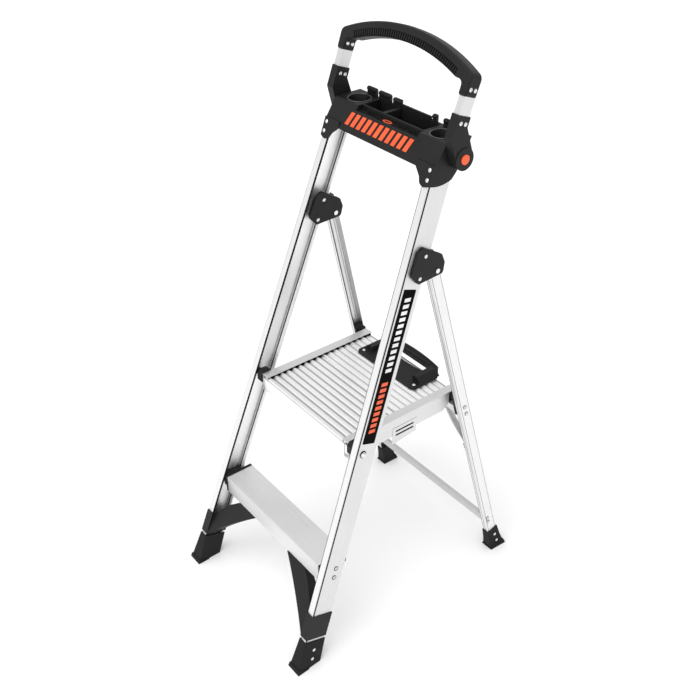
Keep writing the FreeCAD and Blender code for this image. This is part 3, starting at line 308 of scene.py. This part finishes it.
def orange_plastic():
    shader = Shader("orange_plastic")
    cloud = shader.noise(shader.stretched((40, 40, 40)), 1.0, 4.0)
    fine = shader.noise(shader.stretched((1500, 1500, 1500)), 1.0, 2.0)
    stops = [(0.3, (0.80, 0.085, 0.018)), (0.7, (0.93, 0.125, 0.03))]
    shader.wire(shader.ramp(cloud, stops), shader.base.inputs["Base Color"])
    shader.wire(shader.spread(cloud, 0.32, 0.42), shader.base.inputs["Roughness"])
    shader.wire(shader.bump(fine, 0.00006, 0.5), shader.base.inputs["Normal"])
    return shader.material


# The aluminium parts are one metal at grey levels set part by part, lighter or darker as each
# looks under the light: painted light and shade.
MATERIALS = {
    "front_rail": aluminium("aluminium_front_rails", (-FRONT_RAKE, 0, 0), place=FRONT,
                            web=RAIL_FOOT_X, light_and_shade_lines=RAIL_PAINTED_LIGHT_AND_SHADE),
    "post": aluminium("aluminium_posts", (-FRONT_RAKE, 0, 0)),
    "rear_rail": aluminium("aluminium_rear_rails", (REAR_RAKE, 0, 0), 0.86, place=REAR,
                           web=REAR_HINGE_X, light_and_shade_lines=REAR_RAIL_PAINTED_SHADE),
    "strap": aluminium("aluminium_straps", (REAR_RAKE, 0, 0), level=0.62),
    "across": aluminium("aluminium_across", (0, 0, 0), streak=(0.02, 1, 1), level=0.79),
    "deck": aluminium("aluminium_deck", (0, 0, 0), streak=(0.02, 1, 1), level=1.0,
                      groove_shade=DECK_GROOVE_SHADE),
    "sheet": aluminium("aluminium_sheet", (0, 0, 0), streak=(1, 0.02, 1)),
    "plastic": moulded("black_plastic", 0.010),
    "rubber": moulded("black_rubber", 0.008, rough=(0.6, 0.78), grain=900, depth=0.00018),
    # Lighter black plastic with a high gloss: real gloss, and a painted highlight in its lighter
    # grey.
    "glossy_painted_highlight": moulded("black_glossy_painted_highlight", 0.045, rough=(0.25, 0.34), gloss=0.6),
    # Flat black for dark pieces put where shade falls: painted shade.
    "shade": moulded("black_painted_shade", 0.001, rough=(0.8, 0.9), grain=900, gloss=0.03),
    "vinyl": moulded("black_vinyl", 0.001, rough=(0.5, 0.6), grain=500, depth=0.00003,
                     gloss=0.04),
    "steel": plated_steel(),
    "orange": orange_plastic(),
    "white_print": moulded("white_print", 0.85, rough=(0.35, 0.45), grain=700, depth=0.00002),
}

FINISH = (
    ("front_rail_", "front_rail"), ("handle_post_", "post"), ("rear_rail_", "rear_rail"),
    ("knee_brace_", "strap"), ("tread_end_cap_", "plastic"), ("tread", "across"),
    ("platform_deck", "deck"), ("rear_upper_crossbar", "across"),
    ("rear_lower_crossbar", "strap"), ("platform_side", "sheet"), ("front_foot_", "rubber"),
    ("rear_foot_", "rubber"), ("rail_label_", "vinyl"), ("tray_badge", "orange"),
    ("tray_front_strip", "orange"), ("release_button_", "orange"), ("rear_pivot_pin_", "steel"),
    ("handle_pivot_pin_", "steel"), ("platform_pivot_bolt_", "steel"),
    ("front_frame_rivets", "steel"), ("rear_frame_rivets", "steel"),
    ("grab_handle_rivets", "steel"), ("handle_rivets", "steel"),
)


def finish_of(name):
    for start, finish in FINISH:
        if name.startswith(start):
            return finish
    return "plastic"


def dress(node, material):
    node.data.materials.clear()
    node.data.materials.append(material)


# How far each finish's edges are rounded; one that isn't listed stays sharp.
EDGE = {"plastic": 1.2 * MM, "rubber": 4.0 * MM, "steel": 0.3 * MM, "orange": 0.6 * MM,
        "front_rail": 0.5 * MM, "rear_rail": 0.5 * MM, "across": 0.4 * MM, "sheet": 0.5 * MM,
        "post": 0.8 * MM, "strap": 0.4 * MM, "deck": 0.5 * MM}
WELD_REACH = 0.02 * MM
SHARP = math.radians(28)


def soften(thing, width, segments=2):
    """Round a hard-edged mesh a little, so that its edges catch the light."""
    weld = thing.modifiers.new("weld", "WELD")
    weld.merge_threshold = WELD_REACH
    bevel = thing.modifiers.new("bevel", "BEVEL")
    bevel.width = width
    bevel.segments = segments
    bevel.limit_method = "ANGLE"
    bevel.angle_limit = SHARP
    bevel.use_clamp_overlap = True
    bevel.harden_normals = True


for name, node in frame["nodes"].items():
    finish = finish_of(name)
    dress(node, MATERIALS[finish])
    if finish in EDGE:
        soften(node, EDGE[finish])


# ---------------------------------------------------------------- mesh helpers
def arc(start, middle, end, count):
    """Points on the circle through three points, from start to end."""
    (ax, ay), (bx, by), (cx, cy) = start, middle, end
    twice = 2 * (ax * (by - cy) + bx * (cy - ay) + cx * (ay - by))
    squares = (ax * ax + ay * ay, bx * bx + by * by, cx * cx + cy * cy)
    ox = (squares[0] * (by - cy) + squares[1] * (cy - ay) + squares[2] * (ay - by)) / twice
    oy = (squares[0] * (cx - bx) + squares[1] * (ax - cx) + squares[2] * (bx - ax)) / twice
    radius = math.hypot(ax - ox, ay - oy)
    first, mid, last = (math.atan2(y - oy, x - ox) for x, y in (start, middle, end))
    sweep = (last - first) % math.tau
    if (mid - first) % math.tau > sweep:
        sweep -= math.tau
    turns = [first + sweep * step / count for step in range(count + 1)]
    return [(ox + radius * math.cos(turn), oy + radius * math.sin(turn)) for turn in turns]


AXES = {"top": (0, 1, 2), "face": (0, 2, 1), "side": (1, 2, 0)}


def prism(outline, plane, low, high):
    """Vertices and faces of an outline drawn on a plane and pulled from low to high."""
    across, along, out = AXES[plane]
    verts = []
    for level in (low, high):
        for point in outline:
            vert = [0.0, 0.0, 0.0]
            vert[across], vert[along], vert[out] = point[0], point[1], level
            verts.append(tuple(vert))
    count = len(outline)
    faces = [tuple(range(count))[::-1], tuple(range(count, 2 * count))]
    for row in range(count):
        after = (row + 1) % count
        faces.append((row, after, count + after, count + row))
    return verts, faces


def ring(centre, radius, tube, plane, stretch=1.0, steps=40, sides=8):
    """A round rim about a centre, stretched along its first axis."""
    across, along, out = AXES[plane]
    verts = []
    for step in range(steps):
        turn = math.tau * step / steps
        for side in range(sides):
            swing = math.tau * side / sides
            reach = radius + tube * math.cos(swing)
            vert = [0.0, 0.0, 0.0]
            vert[across] = centre[0] + reach * math.cos(turn) * stretch
            vert[along] = centre[1] + reach * math.sin(turn)
            vert[out] = centre[2] + tube * math.sin(swing)
            verts.append(tuple(vert))
    faces = []
    for step in range(steps):
        for side in range(sides):
            after = (step + 1) % steps * sides
            beside = (side + 1) % sides
            faces.append((step * sides + side, after + side, after + beside,
                          step * sides + beside))
    return verts, faces


def roll(low, high, y, z, radius, sides=20):
    """A short bar along X with domed ends."""
    sections = ((low, 0.55), (low + 0.25 * radius, 0.86), (low + 0.7 * radius, 1.0),
                (high - 0.7 * radius, 1.0), (high - 0.25 * radius, 0.86), (high, 0.55))
    verts = []
    for x, share in sections:
        for side in range(sides):
            turn = math.tau * side / sides
            reach = radius * share
            verts.append((x, y + reach * math.cos(turn), z + reach * math.sin(turn)))
    faces = [tuple(range(sides))[::-1], tuple(range((len(sections) - 1) * sides, len(verts)))]
    for row in range(len(sections) - 1):
        for side in range(sides):
            beside = (side + 1) % sides
            faces.append((row * sides + side, row * sides + beside,
                          (row + 1) * sides + beside, (row + 1) * sides + side))
    return verts, faces


def joined(parts):
    """Several shapes as one list of vertices and one of faces."""
    verts, faces = [], []
    for more_verts, more_faces in parts:
        start = len(verts)
        verts += more_verts
        faces += [tuple(start + index for index in face) for face in more_faces]
    return verts, faces


def piece(name, shape, place, body, finish, edge=0.0, segments=2):
    """A new part in millimetres of a local frame, riding on a body."""
    verts, faces = shape
    mesh = bpy.data.meshes.new(name)
    mesh.from_pydata([place @ (Vector(vert) * MM) for vert in verts], [], faces)
    mesh.validate()
    built = bmesh.new()
    built.from_mesh(mesh)
    bmesh.ops.recalc_face_normals(built, faces=built.faces)
    built.to_mesh(mesh)
    built.free()
    obj = bpy.data.objects.new(name, mesh)
    bpy.context.collection.objects.link(obj)
    obj.data.materials.append(MATERIALS[finish])
    if edge:
        soften(obj, edge, segments)
    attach(obj, body)
    return obj


def shade_smooth(obj):
    for face in obj.data.polygons:
        face.use_smooth = True


def slanted_bars(low, high, count, share, bottom, top, slant):
    """Outlines of equal slanted bars between low and high."""
    pitch = (high - low) / count
    bars = []
    for row in range(count):
        left = low + row * pitch
        right = left + share * pitch
        bars.append([(left, bottom), (right, bottom), (right + slant, top), (left + slant, top)])
    return bars


# ---------------------------------------------------------------- handle grip
GRIP_FRONT, GRIP_BACK = -5.2, 30.8
GRIP_BOTTOM = 1452.0
GRIP_INNER, GRIP_OUTER = 187.4, 210.2
UNDER_X, UNDER_END, UNDER_TOP = 168, 1481, 1513       # arc along the grip's underside
CROWN_X, CROWN_END, CROWN_TOP = 201, 1503, 1546.5     # arc along its top
UNDER_RISE = UNDER_TOP - UNDER_END
UNDER_CENTRE = UNDER_TOP - (UNDER_X ** 2 + UNDER_RISE ** 2) / (2 * UNDER_RISE)
UNDER_RADIUS = UNDER_TOP - UNDER_CENTRE


def handle_grip():
    """Rounded arch of the grip."""
    shoulder, corner = (208.5, 1497.5), (211.2, 1487)
    neck, neck_foot = (183, 1479), (GRIP_INNER, 1474)

    def left(point):
        return (-point[0], point[1])

    under_end, crown_end = (UNDER_X, UNDER_END), (CROWN_X, CROWN_END)
    under = arc(left(under_end), (0, UNDER_TOP), under_end, 48)
    crown = arc(crown_end, (0, CROWN_TOP), left(crown_end), 48)
    left_shoulder = arc(left(crown_end), left(shoulder), left(corner), 5)
    right_shoulder = arc(corner, shoulder, crown_end, 5)
    left_neck = arc(left(neck_foot), left(neck), left(under_end), 4)
    right_neck = arc(under_end, neck, neck_foot, 4)
    outline = left_neck[:-1] + under + right_neck[1:]
    outline += [(GRIP_INNER, GRIP_BOTTOM), (GRIP_OUTER, GRIP_BOTTOM)]
    outline += right_shoulder + crown[1:] + left_shoulder[1:]
    outline += [(-GRIP_OUTER, GRIP_BOTTOM), (-GRIP_INNER, GRIP_BOTTOM)]
    shape = prism(outline, "face", GRIP_FRONT, GRIP_BACK)
    grip = piece("handle_grip_moulding", shape, FRONT, "handle", "plastic",
                 6 * MM, 4)
    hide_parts("handle_grip")


def grip_ribs():
    """Short raised ribs on a dark band across the lower front face of the grip; the band is
    painted shade between the ribs.
    """
    count, wide, tall, clear = 48, 4.0, 13.0, 3.0
    rib_proud, band_proud = 1.4, 0.3
    reach = math.asin(160 / UNDER_RADIUS)

    def spot(turn, height, shift=0.0):
        """A height above the underside's arc, shifted along the arc."""
        radius = UNDER_RADIUS + height
        return (math.sin(turn) * radius + math.cos(turn) * shift,
                UNDER_CENTRE + math.cos(turn) * radius - math.sin(turn) * shift)

    ribs = []
    for row in range(count):
        turn = -reach + 2 * reach * row / (count - 1)
        corners = [spot(turn, clear, -wide / 2), spot(turn, clear, wide / 2),
                   spot(turn, clear + tall, wide / 2), spot(turn, clear + tall, -wide / 2)]
        ribs.append(prism(corners, "face", GRIP_FRONT - rib_proud, GRIP_FRONT + 1.5))
    piece("handle_grip_ribs", joined(ribs), FRONT, "handle", "plastic",
          0.5 * MM)
    turns = [reach * 1.02 * (step / 30 - 1) for step in range(61)]
    outline = [spot(turn, clear - 1) for turn in turns]
    outline += [spot(turn, clear + tall + 1) for turn in turns[::-1]]
    band = prism(outline, "face", GRIP_FRONT - band_proud, GRIP_FRONT + 1.0)
    piece("handle_grip_band", band, FRONT, "handle", "shade", 0.2 * MM)


def grip_ridges():
    """Two low ridges along the crown of the grip, in lighter glossy plastic: a painted highlight.
    """
    reach, outer_end, outer_top, inner_end, inner_top = 196, 1505.4, 1547.2, 1502.5, 1544.0
    parts = []
    for depth, half, drop in ((1.2, 1.6, 1.4), (14.0, 0.9, 0.0)):
        end, top = outer_end - drop, outer_top - drop
        outer = arc((reach, end), (0, top), (-reach, end), 40)
        end, top = inner_end - drop, inner_top - drop
        inner = arc((-reach, end), (0, top), (reach, end), 40)
        parts.append(prism(outer + inner, "face", depth - half, depth + half))
    piece("handle_grip_ridges", joined(parts), FRONT, "handle", "glossy_painted_highlight",
          0.5 * MM)


# ---------------------------------------------------------------- tool tray
TRAY_TOP = 1264.0
TRAY_BACK = 545.0
CUP_X, CUP_Y, CUP_RADIUS = 140.0, 504.5, 25.5
CLIPS = ((-152, -119, 14), (-109, -69, 14), (-59, -32, 12),
         (72, 86, 12), (107, 121, 12), (127, 151, 10))    # from, to, height over the tray


def tray_stripes():
    """Slanted orange bars across the tray's sloping front panel."""
    low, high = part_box("tray_front_strip")
    lean = math.atan2(high.y - low.y, high.z - low.z)
    place = Matrix.Translation((0, low.y, low.z)) @ Matrix.Rotation(-lean, 4, "X")
    size = high - low
    tall = math.hypot(size.y, size.z) / MM
    bars = slanted_bars(low=low.x / MM + 2, high=high.x / MM - 12, count=11, share=0.62,
                        bottom=1.5, top=tall - 1.0, slant=7)
    proud, sunk = 0.6, 1.6
    shapes = [prism(bar, "face", -proud, sunk) for bar in bars]
    stripes = piece("tray_front_bars", joined(shapes), place, "front_frame",
                    "orange", 0.35 * MM)
    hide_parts("tray_front_strip")


def tray_ring():
    """Plain orange oval ring on the ledge."""
    low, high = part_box("tray_badge")
    middle = (low + high) / 2
    place = Matrix.Translation((middle.x, middle.y, low.z))
    half = (high.x - low.x) / 2 / MM
    tube = 1.1
    deep = (high.y - low.y) / 2 / MM - tube
    shape = ring((0, 0, 0.6), deep, tube, "top", (half - tube) / deep)
    badge = piece("tray_oval_ring", shape, place, "front_frame", "orange")
    shade_smooth(badge)
    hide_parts("tray_badge")


def cup_rims():
    """Raised rims round the tray's two cup holes, in lighter glossy plastic: painted highlight
    lines.
    """
    tube, outside = 1.5, 2.2
    parts = []
    for side in (1, -1):
        centre = (side * CUP_X, CUP_Y, TRAY_TOP + 0.2)
        parts.append(ring(centre, CUP_RADIUS + outside, tube, "top"))
    rims = piece("tray_cup_rims", joined(parts), LEVEL, "front_frame",
                 "glossy_painted_highlight")
    shade_smooth(rims)


def tray_clips():
    """Rolled heads on the tool clips behind the tray."""
    radius, inside = 5.6, 5.5
    parts = []
    for low, high, rise in CLIPS:
        parts.append(roll(low, high, TRAY_BACK - inside, TRAY_TOP + rise, radius))
    clips = piece("tray_clip_heads", joined(parts), LEVEL, "front_frame",
                  "plastic")
    for face in clips.data.polygons:
        face.use_smooth = len(face.vertices) == 4


# ---------------------------------------------------------------- labels
def rail_labels():
    """Plain slanted bars on the black label film, orange below and white above."""
    under, proud = 0.2, 0.55
    orange = slanted_bars(low=672, high=806, count=9, share=0.62, bottom=20.5, top=39.0, slant=3)
    white = slanted_bars(low=826, high=1012, count=12, share=0.58, bottom=21.0, top=38.5, slant=3)
    prints = (("orange", "orange", orange), ("white", "white_print", white))
    for side, word in SIDES:
        place = rail_frame(side)
        low, high = sorted((under * side, proud * side))
        for colour, finish, bars in prints:
            outlines = [[(back, up) for up, back in bar] for bar in bars]
            shapes = [prism(outline, "side", low, high) for outline in outlines]
            piece(f"rail_label_{colour}_bars_{word}", joined(shapes), place, "front_frame",
                  finish)


# ---------------------------------------------------------------- platform
DECK_TOP, DECK_RIB, DECK_PITCH = 581.0, 2.6, 19.0
DECK_FRONT, DECK_BACK = 217.0, 561.0
FLANGE_INNER, FLANGE_UNDER = 154.5, 583.4


def paint_deck_cavity_shade():
    """Painted shade: a black strip in the gap under each flange, bulging between the planks'
    ribs.
    """
    near, far = DECK_FRONT + 4, DECK_BACK - 2
    hidden = FLANGE_INNER + 5
    first_rib = DECK_FRONT + 9
    steps, bulge = 8, 2.0
    for side, word in SIDES:
        edge = [(side * hidden, near), (side * hidden, far)]
        inner = []
        place = far
        while place > near:
            swing = math.cos(math.tau * (place - first_rib) / DECK_PITCH)
            inner.append((side * (FLANGE_INNER - 1.5 + bulge * max(swing, -0.4)), place))
            place -= DECK_PITCH / steps
        shape = prism(edge + inner, "top", DECK_TOP - DECK_RIB + 0.1, FLANGE_UNDER - 0.2)
        piece(f"deck_cavity_shade_{word}", shape, LEVEL, "platform", "shade")


def side_plate_slots():
    """Painted shade: dark sheets behind the two slots of the plate under the right side."""
    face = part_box("platform_side_right")[1].x / MM
    near, far, bottoms, tall, clear = 366.5, 423.5, (546, 534), 5.0, 0.3
    lowest, proud = 0.1, 0.9
    parts = []
    for bottom in bottoms:
        low, high = bottom + clear, bottom + tall - clear
        outline = [(near, low), (far, low), (far, high), (near, high)]
        parts.append(prism(outline, "side", face + lowest, face + proud))
    piece("side_plate_slot_shade", joined(parts), LEVEL, "platform", "shade",
          0.3 * MM)


def grab_handle_ridges():
    """Two ridges along the top of the platform's grab bar."""
    half, thick, bow, bottom, top = 92, 1.1, 5.0, 599.0, 601.2
    parts = []
    for back in (574.5, 580.0):
        near, far = back - thick, back + thick
        outer = arc((-half, far), (0, far + bow), (half, far), 24)
        inner = arc((half, near), (0, near + bow), (-half, near), 24)
        parts.append(prism(outer + inner, "top", bottom, top))
    piece("grab_bar_ridges", joined(parts), LEVEL, "platform", "plastic",
          0.4 * MM)


# ---------------------------------------------------------------- rivets
CAP_RIVETS = ((36, 301.5), (37.7, 275))
CROSSBAR_RIVETS = ((0, -443), (0, -466), (-7, -886), (-7, -901))


def rivet_shadow_rings():
    """Painted shadows: dark rings round the rivets and bolts that show on the rails' webs."""
    for side, word in SIDES:
        low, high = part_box(f"platform_pivot_bolt_{word}")
        bolt = rail_frame(side).inverted() @ ((low + high) / 2) / MM
        head = (high.z - low.z) / 2 / MM
        rims = [ring((bolt.y, bolt.z, side * 0.4), head + 0.8, 1.2, "side")]
        for back, up in CAP_RIVETS:
            rims.append(ring((back, up, side * 0.3), 5.2, 0.9, "side"))
        piece(f"front_rail_rivet_shadows_{word}", joined(rims), rail_frame(side), "front_frame",
              "shade")
        rims = []
        for back, up in CROSSBAR_RIVETS:
            rims.append(ring((back, up, side * 0.3), 4.6, 0.8, "side"))
        piece(f"rear_rail_rivet_shadows_{word}", joined(rims), rear_rail_frame(side), "rear_frame",
              "shade")


handle_grip()
grip_ribs()
grip_ridges()
tray_stripes()
tray_ring()
cup_rims()
tray_clips()
rail_labels()
paint_deck_cavity_shade()
side_plate_slots()
grab_handle_ridges()
rivet_shadow_rings()


# ---------------------------------------------------------------- studio
SKY_STRENGTH = 0.84
SUN_STRENGTH, SUN_WIDTH, SUN_TILT, SUN_ROLL = 1.25, 60, 32, 8    # the last three in degrees
KEY_WATTS, KEY_SIZE = 10, 2.4
KEY_PLACE, KEY_TARGET = (0.6, -3.6, 2.6), (0, 0, 0.7)
CAMERA_PLACE = (1.5365, -0.8568, 2.0361)          # metres, in LEVEL
CAMERA_LENS, CAMERA_SENSOR = 49.77, 36            # millimetres
CAMERA_ELEVATION, CAMERA_AZIMUTH = 34.25, 51.63   # degrees


def floor():
    """Pale studio floor with a faint cloud in its tone."""
    mesh = bpy.data.meshes.new("floor")
    reach = 14
    corners = [(-reach, -reach, 0), (reach, -reach, 0), (reach, reach, 0), (-reach, reach, 0)]
    mesh.from_pydata(corners, [], [(0, 1, 2, 3)])
    obj = bpy.data.objects.new("floor", mesh)
    bpy.context.collection.objects.link(obj)
    shader = Shader("pale_floor")
    cloud = shader.noise(shader.stretched((0.6, 0.6, 0.6)), 1.0, 2.0)
    shader.wire(shader.ramp(cloud, [(0.3, grey(0.97)), (0.7, grey(1.0))]),
                shader.base.inputs["Base Color"])
    shader.base.inputs["Roughness"].default_value = 0.9
    obj.data.materials.append(shader.material)


def area_light(name, place, target, size, watts):
    """A round soft light that faces a target."""
    light = bpy.data.lights.new(name, "AREA")
    light.shape = "DISK"
    light.size = size
    light.energy = watts
    obj = bpy.data.objects.new(name, light)
    obj.location = place
    direction = Vector(target) - Vector(place)
    obj.rotation_euler = direction.to_track_quat("-Z", "Y").to_euler()
    bpy.context.collection.objects.link(obj)


def studio():
    """White surroundings, a wide soft sun from above and a soft light from the front."""
    world = bpy.data.worlds.new("studio")
    world.use_nodes = True
    background = world.node_tree.nodes["Background"]
    background.inputs["Color"].default_value = (1, 1, 1, 1)
    background.inputs["Strength"].default_value = SKY_STRENGTH
    bpy.context.scene.world = world
    sun = bpy.data.lights.new("soft_sun", "SUN")
    sun.energy = SUN_STRENGTH
    sun.angle = math.radians(SUN_WIDTH)
    obj = bpy.data.objects.new("soft_sun", sun)
    obj.rotation_euler = (math.radians(SUN_TILT), math.radians(SUN_ROLL), 0)
    bpy.context.collection.objects.link(obj)
    area_light("key", KEY_PLACE, KEY_TARGET, KEY_SIZE, KEY_WATTS)


def camera():
    """Camera above the climber's right, looking down at the ladder."""
    data = bpy.data.cameras.new("camera")
    data.lens = CAMERA_LENS
    data.sensor_width = CAMERA_SENSOR
    obj = bpy.data.objects.new("camera", data)
    obj.location = LEVEL @ Vector(CAMERA_PLACE)
    elevation, azimuth = math.radians(CAMERA_ELEVATION), math.radians(CAMERA_AZIMUTH)
    obj.rotation_euler = (math.pi / 2 - elevation, 0, azimuth)
    bpy.context.collection.objects.link(obj)
    bpy.context.scene.camera = obj


floor()
studio()
camera()
scene = bpy.context.scene
scene.view_settings.view_transform = "Standard"
